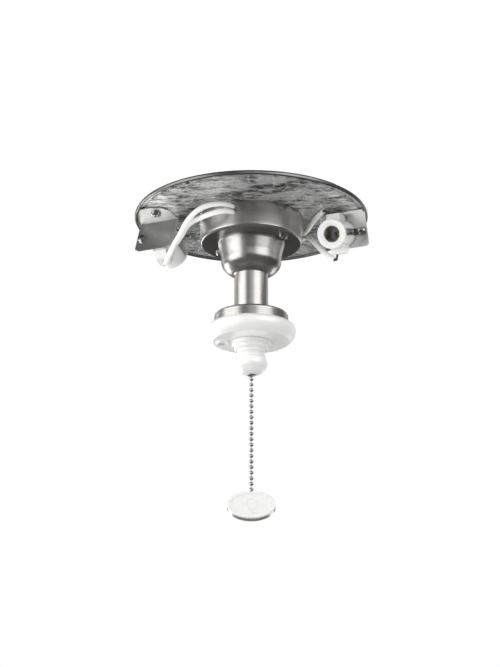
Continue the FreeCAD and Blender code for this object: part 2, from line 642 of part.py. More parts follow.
# ---- lamp brackets, sockets and their straps ----

def fold_axes(side):
    """Unit vectors along the fold towards the middle, level across it, down the plate and out of the socket."""
    turn = math.radians(FOLD_ANGLE + (180 if side == "right" else 0))
    tilt = math.radians(PLATE_TILT)
    along = V(math.cos(turn), math.sin(turn), 0)
    across = V(-along.y, along.x, 0)
    down = across * -math.sin(tilt) - UP * math.cos(tilt)
    return along, across, down, along.cross(down)


def fold_z():
    return -PAN_T - PAD_T - FOIL_T - PLATE_T / 2


def fold_start(side):
    return V(*FOLD_START[side], fold_z())


def flange_point(side, u, v):
    along, across, _, _ = fold_axes(side)
    return fold_start(side) + along * u + across * v


def bracket_place(side):
    """The bracket's own frame: X along the fold, Y down the plate, Z out of the socket's mouth."""
    along, _, down, out = fold_axes(side)
    base = fold_start(side) + out * (PLATE_T / 2)
    matrix = FreeCAD.Matrix(along.x, down.x, out.x, base.x, along.y, down.y, out.y, base.y,
                            along.z, down.z, out.z, base.z, 0, 0, 0, 1)
    return FreeCAD.Placement(matrix)


def placed(shape, side):
    copy = shape.copy()
    copy.Placement = bracket_place(side).multiply(copy.Placement)
    return copy


def local_cylinder(radius, z_low, z_high, x=None, y=None):
    """A cylinder along the socket's axis, or at another point of the plate."""
    x, y = SOCKET_AT[0] if x is None else x, SOCKET_AT[1] if y is None else y
    return Part.makeCylinder(radius, z_high - z_low, V(x, y, z_low))


def make_bracket(side):
    plate = Part.makeBox(PLATE_W, PLATE_H, PLATE_T, V(0, 0, -PLATE_T))
    low_corners = [e for e in plate.Edges
                   if abs(e.BoundBox.ZLength - PLATE_T) < 0.01 and e.BoundBox.YMin > PLATE_H - 0.01]
    plate = plate.makeFillet(PLATE_CORNER_R, low_corners)
    plate = plate.cut(local_cylinder(STRAP_HOLE_R, -PLATE_T, 0, STRAP_SCREW_X))
    corners = [flange_point(side, u, v) for u, v in FLANGE_REACH]
    half = V(0, 0, PLATE_T / 2)
    outline = Part.makePolygon([c - half for c in corners] + [corners[0] - half])
    flange = Part.Face(outline).extrude(half * 2)
    bend = Part.makeCylinder(PLATE_T / 2, PLATE_W, fold_start(side), fold_axes(side)[0])
    bracket = union([placed(plate, side), flange, bend])
    bracket = bracket.cut(ring(PAN_R * 2, FLANGE_TRIM_R, PAN_LIP_Z - 0.8, 0))
    hole = flange_point(side, *BRACKET_SCREW_AT)
    save(f"bracket_{side}", pierce(bracket, LINING_SCREW_HOLE_R, hole.x, hole.y, -6, 0))


def make_bracket_screws():
    screws = []
    flange_low = fold_z() - PLATE_T / 2
    for point in bracket_screw_points():
        screw = pan_screw(4.1, 2.6, 2.0, -flange_low)
        screw.rotate(V(0, 0, 0), V(1, 0, 0), 180)
        screw.translate(V(point.x, point.y, flange_low))
        screws.append(screw)
    save("bracket_screws", *screws)


def ear(sign):
    """The boss above or below the socket that holds a wire terminal, sloped at its back."""
    y0, y1 = sign * (SOCKET_R - 1.6), sign * EAR_REACH
    slope = sign * 3.6
    section = [V(0, y0, EAR_BACK), V(0, y1 - slope, EAR_BACK), V(0, y1, EAR_BACK + 5.5), V(0, y1, EAR_FRONT),
               V(0, y0, EAR_FRONT), V(0, y0, EAR_BACK)]
    block = Part.Face(Part.makePolygon(section)).extrude(V(EAR_W, 0, 0))
    block.translate(V(SOCKET_AT[0] - EAR_W / 2, SOCKET_AT[1], 0))
    return block


def turned_at_socket(start, *steps):
    solid = lathe(start, *steps)
    solid.translate(V(*SOCKET_AT, 0))
    return solid


def make_socket(side, wires):
    back, front, lip = STRAP_T, SOCKET_L, SOCKET_L - 2.0
    body = turned_at_socket(
        (0, back), ("line", (SOCKET_R - 0.5, back)), ("line", (SOCKET_R, back + 0.5)), ("line", (SOCKET_R, lip - 0.4)),
        ("line", (SOCKET_LIP_R, lip)), ("line", (SOCKET_LIP_R, front - 0.7)),
        ("arc", (SOCKET_LIP_R - 0.2, front - 0.2), (SOCKET_LIP_R - 0.7, front)), ("line", (8.2, front)),
        ("line", (7.9, front - 0.5)), ("line", (7.2, front - 0.5)), ("arc", (6.5, front - 0.7), (6.25, front - 1.4)),
        ("line", (6.25, front - 2.5)), ("line", (6.6, front - 2.5)), ("line", (6.6, 4.0)), ("line", (0, 4.0)))
    body = placed(union([body, ear(1), ear(-1)]), side)
    for wire in wires:
        body = body.cut(wire)
    save(f"socket_body_{side}", body)
    shell = turned_at_socket((SOCKET_BORE_R, front - 2.6), ("line", (6.5, front - 2.6)), ("line", (6.5, SHELL_BACK)),
                             ("line", (SOCKET_BORE_R, SHELL_BACK)))
    save(f"socket_shell_{side}", placed(shell, side))
    x, y = SOCKET_AT
    seat = Part.makeBox(8.0, 4.0, 0.5, V(x - 4, y - 2, 4.0))
    riser = Part.makeBox(0.5, 4.0, 2.4, V(x - 4, y - 2, 4.0))
    tongue = Part.makeBox(6.4, 4.0, 0.5, V(x - 4, y - 2, 6.4))
    dome = Part.makeCone(1.6, 1.0, 0.7, V(x, y, 6.9))
    save(f"socket_contact_{side}", placed(union([seat, riser, tongue, dome]), side))


def make_strap(side):
    """A steel strap under the porcelain, with an arm up each side of it and a foot out to its screw."""
    x, y = SOCKET_AT
    inner, arm_top = SOCKET_R + 0.1, SOCKET_L - 2.6
    low = y - STRAP_W / 2
    base = Part.makeBox(x + inner + STRAP_T - 1.0, STRAP_W, STRAP_T, V(1.0, low, 0))
    arms = [Part.makeBox(STRAP_T, STRAP_W, arm_top, V(left, low, 0)) for left in (x + inner, x - inner - STRAP_T)]
    strap = union([base, *arms]).cut(local_cylinder(STRAP_HOLE_R, 0, STRAP_T, STRAP_SCREW_X))
    save(f"socket_strap_{side}", placed(strap, side))


def make_strap_fixings():
    screws, nuts = [], []
    for side in FOLD_START:
        screw = pan_screw(2.9, 1.7, 1.6, STRAP_T + PLATE_T + 2.6)
        screw.translate(V(STRAP_SCREW_X, SOCKET_AT[1], STRAP_T))
        screws.append(placed(screw, side))
        nut = hex_nut(5.5, 1.65, -2.0, 0)
        nut.translate(V(STRAP_SCREW_X, SOCKET_AT[1], -PLATE_T))
        nuts.append(placed(nut, side))
    save("strap_screws", *screws)
    save("strap_nuts", *nuts)


# ---- leads and wire nuts ----

def to_row_frame(points, side):
    place = bracket_place(side)
    return [tuple(place.multVec(V(*p))) for p in points]


def past_end(inner, end, amount):
    """A point on the line from inner through end, the given amount past end."""
    inner, end = V(*inner), V(*end)
    return tuple(end + (end - inner).normalize() * amount)


def full_route(name):
    """A lamp wire's whole route, from inside the porcelain through its sleeve to its wire nut."""
    hook = to_row_frame(TERMINAL_HOOKS[name], name.split("_")[0])
    sleeve = SLEEVE_ROUTES[name]
    at_terminal = past_end(sleeve[-2], sleeve[-1], WIRE_PAST_TERMINAL)
    in_drum = past_end(sleeve[1], sleeve[0], WIRE_PAST_DRUM_END)
    return hook[::-1] + [at_terminal] + sleeve[-2:0:-1] + [in_drum] + DRUM_ROUTES[name]


def make_lamp_leads():
    for name, points in SLEEVE_ROUTES.items():
        outside = cord(f"sleeve_{name}", points, SLEEVE_OD)
        save(f"sleeve_{name}", outside.cut(cord(f"sleeve bore {name}", points, SLEEVE_ID)))
        save(f"wire_{name}", cord(f"wire_{name}", full_route(name), WIRE_D))


def terminal_holes(side):
    names = [name for name in SLEEVE_ROUTES if name.startswith(side)]
    return [cord(f"terminal hole {name}", full_route(name)[:4], WIRE_D + 0.2) for name in names]


def make_switch_leads():
    for name, points in SWITCH_LEAD_ROUTES.items():
        save(f"switch_lead_{name}", cord(f"switch_lead_{name}", points, SWITCH_LEAD_D))


def make_wire_nuts():
    """Three tapered caps, each open at its mouth where its wires go in."""
    nuts = []
    for mouth, axis in WIRE_NUTS:
        r, length = WIRE_NUT_R, WIRE_NUT_L
        nut = lathe((0, length), ("line", (r * 0.45, length)), ("line", (r * 0.62, length - 1.5)),
                    ("line", (r * 0.95, 2.5)), ("line", (r, 0)), ("line", (r - 0.8, 0)),
                    ("line", (r * 0.55, length - 5)), ("line", (0, length - 5)))
        nut.Placement = FreeCAD.Placement(V(*mouth), FreeCAD.Rotation(UP, V(*axis)))
        nuts.append(nut)
    save("wire_nuts", *nuts)


def main():
    os.makedirs("parts", exist_ok=True)
    make_pan()
    make_lining()
    make_nipple()
    make_drum()
    make_drum_fixings()
    make_cup()
    make_stem()
    make_pipe_fixings()
    make_cap()
    make_bridge()
    make_ring()
    make_finial()
    make_switch_case()
    make_drive_sleeve()
    make_contact_rotor()
    make_contact_blades()
    make_pull_rod()
    make_spring()
    make_fob(make_chain())
    for side in FOLD_START:
        make_bracket(side)
        make_socket(side, terminal_holes(side))
        make_strap(side)
    make_bracket_screws()
    make_strap_fixings()
    make_lamp_leads()
    make_switch_leads()
    make_wire_nuts()
    for name, shape in PARTS.items():
        shape.exportStep(f"parts/{name}.step")
        if not shape.isValid():
            print("not valid:", name)
    print(len(PARTS), "nodes")


main()
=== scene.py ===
"""The looks of a ceiling fan light fitter with a pull chain switch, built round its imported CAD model.

Everything is in metres in the CAD model's frame: +Z up, origin at the centre of the pan's top face.
"""
import json
import logging
import math
from collections.abc import Iterable, Sequence
from dataclasses import dataclass
from enum import Enum
from typing import ClassVar

import bpy
from mathutils import Matrix, Vector, noise

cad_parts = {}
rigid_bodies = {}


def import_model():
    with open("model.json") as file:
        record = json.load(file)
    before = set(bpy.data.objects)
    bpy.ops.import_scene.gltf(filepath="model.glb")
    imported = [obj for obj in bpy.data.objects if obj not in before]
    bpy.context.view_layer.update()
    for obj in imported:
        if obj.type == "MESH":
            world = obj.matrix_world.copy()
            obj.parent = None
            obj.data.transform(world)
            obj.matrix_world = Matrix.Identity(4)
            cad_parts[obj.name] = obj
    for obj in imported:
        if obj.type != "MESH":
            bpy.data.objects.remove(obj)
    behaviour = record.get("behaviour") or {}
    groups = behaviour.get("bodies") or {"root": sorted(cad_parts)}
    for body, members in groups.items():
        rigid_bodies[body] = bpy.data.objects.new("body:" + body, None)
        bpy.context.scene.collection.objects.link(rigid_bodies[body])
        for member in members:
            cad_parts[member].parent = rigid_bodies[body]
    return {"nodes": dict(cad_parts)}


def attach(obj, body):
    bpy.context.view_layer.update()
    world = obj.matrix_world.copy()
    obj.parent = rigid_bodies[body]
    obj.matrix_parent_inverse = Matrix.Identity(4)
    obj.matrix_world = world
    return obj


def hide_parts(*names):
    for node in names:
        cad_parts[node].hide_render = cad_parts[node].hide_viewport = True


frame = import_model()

log = logging.getLogger("fitter")
MM = 0.001
ROOT = "fitter"          # the body that nothing moves
BRAID_MAP = "lay"        # the woven sleeves' UV map
Colour = tuple[float, float, float]
Point = tuple[float, float, float]
Ring = tuple[Vector, Vector, Vector, float, float]   # centre, two sides, radius, distance along
Number = "Signal | float"                            # what a shader sum can hold


def shade(colour: Colour, share: float) -> Colour:
    """Return a colour darkened to a share of itself."""
    return tuple(c * share for c in colour)


# ---------------------------------------------------------------- shader maths

class Signal:
    """A number in a shader graph. Python's own operators on it add the maths nodes."""

    def __init__(self, graph: "Graph", socket: bpy.types.NodeSocket) -> None:
        """Wrap one output socket.

        Args:
            graph: The graph that the socket is in.
            socket: The output socket.
        """
        self.graph = graph
        self.socket = socket

    def apply(self, operation: str, *values: Number) -> "Signal":
        """Return the result of one Math node.

        Args:
            operation: The Math node's operation.
            *values: Its inputs, in order.
        """
        return self.graph.node("ShaderNodeMath", {"operation": operation}, dict(enumerate(values)))

    def __add__(self, other: Number) -> "Signal":
        """Return this number plus another."""
        return self.apply("ADD", self, other)

    def __radd__(self, other: float) -> "Signal":
        """Return another number plus this one."""
        return self.apply("ADD", other, self)

    def __sub__(self, other: Number) -> "Signal":
        """Return this number less another."""
        return self.apply("SUBTRACT", self, other)

    def __rsub__(self, other: float) -> "Signal":
        """Return another number less this one."""
        return self.apply("SUBTRACT", other, self)

    def __mul__(self, other: Number) -> "Signal":
        """Return this number times another."""
        return self.apply("MULTIPLY", self, other)

    def __rmul__(self, other: float) -> "Signal":
        """Return another number times this one."""
        return self.apply("MULTIPLY", other, self)

    def __truediv__(self, other: Number) -> "Signal":
        """Return this number over another."""
        return self.apply("DIVIDE", self, other)

    def __pow__(self, other: Number) -> "Signal":
        """Return this number to a power."""
        return self.apply("POWER", self, other)

    def sine(self) -> "Signal":
        """Return the sine of this number, in radians."""
        return self.apply("SINE", self)

    def most(self, other: Number) -> "Signal":
        """Return the greater of two numbers."""
        return self.apply("MAXIMUM", self, other)

    def between(self, low: float, high: float) -> "Signal":
        """Return a smooth step.

        Args:
            low: Where the step starts, at 0.
            high: Where the step ends, at 1.

        Returns:
            A number from 0 to 1.
        """
        settings = {"interpolation_type": "SMOOTHSTEP"}
        inputs = {"Value": self, "From Min": low, "From Max": high}
        return self.graph.node("ShaderNodeMapRange", settings, inputs)


class Graph:
    """One material's nodes."""

    def __init__(self, name: str) -> None:
        """Start an empty material.

        Args:
            name: The material's name.
        """
        self.material = bpy.data.materials.new(name)
        self.material.use_nodes = True
        self.tree = self.material.node_tree
        self.tree.nodes.clear()

    def node(self, kind: str, settings: dict | None = None, inputs: dict | None = None,
             output: int | str = 0) -> Signal:
        """Add one node.

        Args:
            kind: The node's type.
            settings: Its properties.
            inputs: Its inputs by name or index. Each is a Signal or a constant.
            output: The output to return, by name or index.

        Returns:
            That output.
        """
        made = self.tree.nodes.new(kind)
        for name, value in (settings or {}).items():
            setattr(made, name, value)
        for name, value in (inputs or {}).items():
            if isinstance(value, Signal):
                self.tree.links.new(value.socket, made.inputs[name])
            else:
                made.inputs[name].default_value = value
        return Signal(self, made.outputs[output])

    def place(self, stretch: Sequence[float] = (1, 1, 1)) -> Signal:
        """Return the point on the object, stretched along its axes."""
        point = self.node("ShaderNodeTexCoord", output="Object")
        return self.node("ShaderNodeMapping", None, {"Vector": point, "Scale": tuple(stretch)})

    def uv(self, name: str) -> tuple[Signal, Signal]:
        """Read a UV map.

        Args:
            name: The map's name.

        Returns:
            Its two coordinates.
        """
        point = self.node("ShaderNodeUVMap", {"uv_map": name})
        axes = [self.node("ShaderNodeSeparateXYZ", None, {"Vector": point}, axis) for axis in ("X", "Y")]
        return axes[0], axes[1]

    def noise(self, scale: float, where: Signal, detail: float = 3.0) -> Signal:
        """Return fractal noise from 0 to 1."""
        inputs = {"Vector": where, "Scale": scale, "Detail": detail}
        return self.node("ShaderNodeTexNoise", {"noise_dimensions": "3D"}, inputs)

    def blend(self, share: Number, first: Colour, second: Colour) -> Signal:
        """Return a colour between two."""
        settings = {"data_type": "RGBA"}
        return self.node("ShaderNodeMix", settings, {0: share, 6: (*first, 1), 7: (*second, 1)}, 2)

    def bump(self, height: Signal, depth: float, strength: float = 1.0,
             under: Signal | None = None) -> Signal:
        """Turn a height into a normal.

        Args:
            height: The height, in units of depth.
            depth: The distance that a height of 1 stands for, in metres.
            strength: The share of the effect that is used.
            under: A normal to build on.

        Returns:
            The normal.
        """
        inputs = {"Height": height, "Distance": depth, "Strength": strength}
        if under is not None:
            inputs["Normal"] = under
        return self.node("ShaderNodeBump", None, inputs)

    def finish(self, **inputs: "Signal | float | tuple") -> bpy.types.Material:
        """Add the surface shader.

        Args:
            **inputs: The Principled shader's inputs, with underscores for spaces.

        Returns:
            The finished material.
        """
        named = {name.replace("_", " "): value for name, value in inputs.items()}
        for name in ("Base Color", "Emission Color"):
            if isinstance(named.get(name), tuple):
                named[name] = (*named[name], 1)
        shader = self.node("ShaderNodeBsdfPrincipled", None, named)
        end = self.tree.nodes.new("ShaderNodeOutputMaterial")
        self.tree.links.new(shader.socket, end.inputs["Surface"])
        return self.material


class Grain(Enum):
    """The way that a metal's brushing runs, as the stretch of its noise."""

    AROUND = (14.0, 14.0, 2600.0)
    ACROSS = (30.0, 1500.0, 1500.0)
    NONE = (220.0, 220.0, 220.0)


# ---------------------------------------------------------------- finishes

@dataclass(frozen=True)
class Metal:
    """Bare or plated metal, with brushing and faint smudges."""

    name: str
    colour: Colour
    roughness: float
    grain: Grain
    line_depth: float
    metallic: float = 1.0
    line_shade: float = 0.86
    line_rough: float = 0.12
    smudge_scale: float = 45.0
    smudge_rough: float = 0.06

    def build(self) -> bpy.types.Material:
        """Make the material.

        Returns:
            The material.
        """
        g = Graph(self.name)
        lines = g.noise(1.0, g.place(self.grain.value), 2.0)
        smudge = g.noise(self.smudge_scale, g.place(), 3.0)
        return g.finish(
            Base_Color=g.blend(lines.between(0.3, 0.7), shade(self.colour, self.line_shade), self.colour),
            Metallic=self.metallic,
            Roughness=self.roughness + (lines - 0.5) * self.line_rough + (smudge - 0.5) * self.smudge_rough,
            Normal=g.bump(lines, self.line_depth))


@dataclass(frozen=True)
class Glaze:
    """White enamel or glazed porcelain: a smooth coat over a faintly uneven body."""

    name: str
    colour: Colour
    roughness: float
    coat: float
    ripple: float = 2.5e-5
    ripple_scale: float = 160.0
    ripple_shade: float = 0.955
    fine_scale: float = 900.0
    fine_rough: float = 0.05
    coat_roughness: float = 0.12

    def build(self) -> bpy.types.Material:
        """Make the material.

        Returns:
            The material.
        """
        g = Graph(self.name)
        slow = g.noise(self.ripple_scale, g.place(), 2.0)
        fine = g.noise(self.fine_scale, g.place(), 2.0)
        return g.finish(
            Base_Color=g.blend(slow.between(0.35, 0.65), shade(self.colour, self.ripple_shade), self.colour),
            Roughness=self.roughness + (fine - 0.5) * self.fine_rough, Coat_Weight=self.coat,
            Coat_Roughness=self.coat_roughness, Normal=g.bump(slow, self.ripple))


@dataclass(frozen=True)
class Foil:
    """Thin shiny aluminium foil, with painted reflection in its colour: dark and pale patches where its
    crumpled faces catch or miss the light, and a painted highlight along the fine creases between its folds.
    """

    name: str
    colour: Colour
    roughness: float
    metallic: float = 0.72
    # Painted reflection: the dark patches keep this share of the colour, and the noise range sets where they
    # turn pale.
    painted_dark_facet_share: float = 0.14
    painted_facet_range: tuple[float, float] = (0.41, 0.545)
    crease_scale: float = 120.0
    crease_width: float = 0.08
    crease_depth: float = 2.5e-4
    # Painted highlight along the creases, as a share of the full colour.
    painted_crease_highlight: float = 0.7
    crumple_depth: float = 2.2e-3
    crumple_strength: float = 0.6
    crumple_rough: float = 0.2

    def build(self) -> bpy.types.Material:
        """Make the material.

        Returns:
            The material.
        """
        g = Graph(self.name)
        net = {"Vector": g.place(), "Scale": self.crease_scale}
        crease = g.node("ShaderNodeTexVoronoi", {"feature": "DISTANCE_TO_EDGE"}, net)
        ridge = 1.0 - crease.between(0.0, self.crease_width)
        crumple = g.noise(150.0, g.place((1.0, 1.6, 1.0)), 5.0)
        fine = g.noise(170.0, g.place((0.6, 1.5, 1.0)), 6.0)
        broad = g.noise(38.0, g.place((0.8, 1.3, 1.0)), 4.0)
        # The colour mixes painted reflection patches with a painted highlight on the creases; the bump below
        # is real relief.
        painted_facets = (fine * 0.5 + broad * 0.5).between(*self.painted_facet_range)
        painted_light_share = painted_facets.most(ridge * self.painted_crease_highlight)
        normal = g.bump(crumple, self.crumple_depth, self.crumple_strength, g.bump(ridge, self.crease_depth))
        return g.finish(
            Base_Color=g.blend(painted_light_share, shade(self.colour, self.painted_dark_facet_share), self.colour),
            Metallic=self.metallic, Roughness=self.roughness + (crumple - 0.5) * self.crumple_rough,
            Normal=normal)


@dataclass(frozen=True)
class Braid:
    """A woven glass-fibre sleeve, with painted shade in the gaps between its strands. Its UV map runs once
    round it, and along it in metres.
    """

    name: str
    colour: Colour
    strands: int = 9
    lay: float = 5.2 * MM
    # Painted shade: the share of the colour left in the gaps between the strands.
    gap_painted_shade: float = 0.72
    roughness: float = 0.72
    fuzz_scale: float = 3000.0
    strand_depth: float = 7e-5
    strand_strength: float = 0.9

    def build(self) -> bpy.types.Material:
        """Make the material.

        Returns:
            The material.
        """
        g = Graph(self.name)
        around, along = g.uv(BRAID_MAP)
        turns = around * (2 * math.pi * self.strands)
        climb = along * (2 * math.pi * self.strands / self.lay / 2)
        weave = (turns + climb).sine().most((turns - climb).sine())
        fuzz = g.noise(self.fuzz_scale, g.place(), 2.0)
        # The colour darkens in the gaps between strands as painted shade.
        return g.finish(
            Base_Color=g.blend(weave.between(-0.1, 0.7), shade(self.colour, self.gap_painted_shade), self.colour),
            Roughness=self.roughness,
            Normal=g.bump(weave + fuzz * 0.5, self.strand_depth, self.strand_strength))


@dataclass(frozen=True)
class Plain:
    """Moulded plastic, wire cover or fibre mat: one colour with a fine texture."""

    name: str
    colour: Colour
    roughness: float
    texture: float = 1e-5
    scale: float = 1400.0
    grain_shade: float = 0.85
    grain_rough: float = 0.1

    def build(self) -> bpy.types.Material:
        """Make the material.

        Returns:
            The material.
        """
        g = Graph(self.name)
        grain = g.noise(self.scale, g.place(), 3.0)
        return g.finish(
            Base_Color=g.blend(grain.between(0.3, 0.7), shade(self.colour, self.grain_shade), self.colour),
            Roughness=self.roughness + (grain - 0.5) * self.grain_rough, Normal=g.bump(grain, self.texture))


@dataclass(frozen=True)
class Floor:
    """A pale floor that reflections see as dark, as if the fitter hung high above it."""

    name: str
    colour: Colour
    mirrored: float
    roughness: float = 0.8

    def build(self) -> bpy.types.Material:
        """Make the material.

        Returns:
            The material.
        """
        g = Graph(self.name)
        glossy = g.node("ShaderNodeLightPath", output="Is Glossy Ray")
        base = g.blend(glossy, self.colour, (self.mirrored,) * 3)
        return g.finish(Base_Color=base, Roughness=self.roughness)


class Finish(Enum):
    """Every finish on the fitter, with the record's slot that it belongs to."""

    NICKEL_ROUND = (Metal("brushed_nickel_round", (0.62, 0.605, 0.585), 0.32, Grain.AROUND, 3e-6),
                    "brushed_nickel")
    PAN_STEEL = (Metal("pan_steel", (0.84, 0.84, 0.83), 0.4, Grain.NONE, 4e-6, metallic=0.3), "zinc_steel")
    ZINC = (Metal("zinc_plate", (0.68, 0.68, 0.67), 0.24, Grain.NONE, 4e-6), "zinc_steel")
    BRACKET = (Metal("bracket_plate", (0.86, 0.86, 0.85), 0.36, Grain.ACROSS, 3e-6), "bracket_steel")
    CHAIN = (Metal("chain_nickel", (0.50, 0.49, 0.47), 0.16, Grain.NONE, 2e-6), "chain_nickel")
    RIM = (Metal("rolled_rim", (0.30, 0.29, 0.28), 0.32, Grain.NONE, 4e-6), "zinc_steel")
    FOB_METAL = (Metal("fob_nickel", (0.60, 0.56, 0.52), 0.3, Grain.ACROSS, 4e-6, metallic=0.7),
                 "chain_nickel")
    BRASS = (Metal("plain_brass", (0.70, 0.59, 0.38), 0.28, Grain.NONE, 4e-6), "brass")
    ENAMEL = (Glaze("white_enamel", (0.84, 0.84, 0.835), 0.28, 0.35), "white_enamel")
    PORCELAIN = (Glaze("glazed_porcelain", (0.80, 0.80, 0.79), 0.22, 0.5, 4e-5), "porcelain")
    FOIL = (Foil("crinkled_foil", (0.95, 0.95, 0.95), 0.22), "foil")
    MAT = (Plain("glass_fibre_mat", (0.80, 0.75, 0.56), 0.9, 2e-4, 500.0), "fibre_pad")
    BRAID = (Braid("woven_sleeve", (0.90, 0.90, 0.885)), "woven_sleeve")
    WIRE = (Plain("wire_cover", (0.03, 0.03, 0.03), 0.42), "wire_cover")
    WIRE_NUT = (Plain("wire_nut_plastic", (0.85, 0.42, 0.06), 0.45), "wire_nut_plastic")
    FLOOR = (Floor("pale_floor", (0.82, 0.82, 0.82), 0.08), "none")
    PHENOLIC = (Plain("phenolic", (0.035, 0.03, 0.027), 0.38), "phenolic")

    def material(self) -> bpy.types.Material:
        """Return this finish's material, made once."""
        recipe = self.value[0]
        return bpy.data.materials.get(recipe.name) or recipe.build()

    @property
    def slot(self) -> str:
        """The record's material slot."""
        return self.value[1]


# ---------------------------------------------------------------- mesh work

def dress(nodes: Iterable[str], finish: Finish) -> None:
    """Give CAD nodes a finish.

    Args:
        nodes: The nodes' names.
        finish: The finish.
    """
    for name in nodes:
        mesh = frame["nodes"][name].data
        mesh.materials.clear()
        mesh.materials.append(finish.material())
        log.info("%s has finish %s", name, finish.name)


def new_piece(name: str, points: Sequence[Sequence[float]], faces: Sequence[Sequence[int]], finish: Finish,
              sharp: float = 35.0) -> bpy.types.Object:
    """Make a mesh piece, smooth but for its sharp edges.

    Args:
        name: The piece's name.
        points: Its vertices.
        faces: Its faces, with outward winding.
        finish: Its finish.
        sharp: Edges that turn more than this many degrees stay sharp.

    Returns:
        The piece, in the scene.
    """
    mesh = bpy.data.meshes.new(name)
    mesh.from_pydata([tuple(p) for p in points], [], faces)
    mesh.validate()
    mesh.shade_smooth()
    mesh.set_sharp_from_angle(angle=math.radians(sharp))
    mesh.materials.append(finish.material())
    piece = bpy.data.objects.new(name, mesh)
    bpy.context.scene.collection.objects.link(piece)
    return piece


def install(piece: bpy.types.Object, body: str, finish: Finish, *nodes: str) -> bpy.types.Object:
    """Put a finished piece on its body in place of CAD nodes.

    Args:
        piece: The piece.
        body: The CAD body that it rides on.
        finish: Its finish; not used.
        *nodes: The nodes that it stands for.

    Returns:
        The same piece.
    """
    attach(piece, body)
    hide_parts(*nodes)
    log.info("%s: %d faces on %s, for %s", piece.name, len(piece.data.polygons), body, ", ".join(nodes))
    return piece


def lathe(profile: Sequence[tuple[float, float]], steps: int = 96) -> tuple[list[Point], list[list[int]]]:
    """Turn a closed outline about Z.

    Args:
        profile: The outline's (radius, z) points, anticlockwise with the radius to the right.
        steps: The number of faces round.

    Returns:
        Vertices and faces.
    """
    count = len(profile)
    points = [(r * math.cos(2 * math.pi * s / steps), r * math.sin(2 * math.pi * s / steps), z)
              for s in range(steps) for r, z in profile]
    faces = []
    for s in range(steps):
        here, there = s * count, (s + 1) % steps * count
        for i in range(count):
            j = (i + 1) % count
            faces.append([here + i, there + i, there + j, here + j])
    return points, faces


def centreline(points_mm: Sequence[Point], spacing: float) -> list[Vector]:
    """Draw the smooth curve that a lead follows.

    Args:
        points_mm: The route's points, in millimetres.
        spacing: The distance between the points that are returned, in metres.

    Returns:
        Evenly spaced points on the curve, in metres.
    """
    curve = bpy.data.curves.new("route", "CURVE")
    curve.dimensions = "3D"
    spline = curve.splines.new("NURBS")
    spline.points.add(len(points_mm) - 1)
    for slot, point in zip(spline.points, points_mm):
        slot.co = (*(c * MM for c in point), 1)
    spline.order_u = 3
    spline.use_endpoint_u = True
    curve.resolution_u = 24
    holder = bpy.data.objects.new("route", curve)
    bpy.context.scene.collection.objects.link(holder)
    bpy.context.view_layer.update()
    mesh = bpy.data.meshes.new_from_object(holder.evaluated_get(bpy.context.evaluated_depsgraph_get()))
    line = [v.co.copy() for v in mesh.vertices]
    bpy.data.objects.remove(holder)
    bpy.data.meshes.remove(mesh)
    return resample(line, spacing)


def resample(line: Sequence[Vector], spacing: float) -> list[Vector]:
    """Space points evenly along a line of points.

    Args:
        line: The line.
        spacing: The rough distance between the new points.

    Returns:
        The new points, from one end of the line to the other.
    """
    reach = [0.0]
    for a, b in zip(line, line[1:]):
        reach.append(reach[-1] + (b - a).length)
    count = max(2, round(reach[-1] / spacing))
    out, k = [], 0
    for i in range(count + 1):
        target = reach[-1] * i / count
        while k < len(line) - 2 and reach[k + 1] < target:
            k += 1
        share = (target - reach[k]) / max(reach[k + 1] - reach[k], 1e-12)
        out.append(line[k].lerp(line[k + 1], min(max(share, 0.0), 1.0)))
    return out


def tube(name: str, line: Sequence[Vector], outer: float, inner: float, finish: Finish,
         sides: int = 24) -> bpy.types.Object:
    """Sweep a hollow tube along a line, with a UV map round it and along it.

    Its outside juts a little past its bore at the start, and its wall is thinned at the end.

    Args:
        name: The piece's name.
        line: The centre's points.
        outer: The outside radius.
        inner: The bore's radius.
        finish: Its finish.
        sides: The number of faces round.

    Returns:
        The tube.
    """
    last = len(line) - 1
    tangents = [(line[min(i + 1, last)] - line[max(i - 1, 0)]).normalized() for i in range(len(line))]
    side = tangents[0].cross(Vector((0, 0, 1))).normalized()
    jut, thinned = 0.22 * (outer - inner), 0.36 * (outer - inner)
    rings: list[Ring] = []
    reach = 0.0
    for i, (centre, tangent) in enumerate(zip(line, tangents)):
        side = (side - tangent * side.dot(tangent)).normalized()
        reach += (centre - line[i - 1]).length if i else 0.0
        rings.append((centre, side, side.cross(tangent).normalized(), outer, reach))
    head = (rings[0][0] - tangents[0] * jut, *rings[0][1:3], outer, 0.0)
    tail = (*rings[last][:3], outer - thinned, reach)
    bore = [(c, s, b, inner, v) for c, s, b, _, v in reversed(rings)]
    loop = [head, *rings, tail, *bore]
    points = [c + (s * math.cos(2 * math.pi * k / sides) + b * math.sin(2 * math.pi * k / sides)) * r
              for c, s, b, r, _ in loop for k in range(sides)]
    faces, uvs = [], []
    for i in range(len(loop)):
        j = (i + 1) % len(loop)
        for k in range(sides):
            m = (k + 1) % sides
            faces.append([i * sides + k, j * sides + k, j * sides + m, i * sides + m])
            u0, u1, v0, v1 = k / sides, (k + 1) / sides, loop[i][4], loop[j][4]
            uvs += [(u0, v0), (u0, v1), (u1, v1), (u1, v0)]
    piece = new_piece(name, points, faces, finish, 60.0)
    layer = piece.data.uv_layers.new(name=BRAID_MAP)
    for loop_uv, value in zip(layer.data, uvs):
        loop_uv.uv = value
    return piece


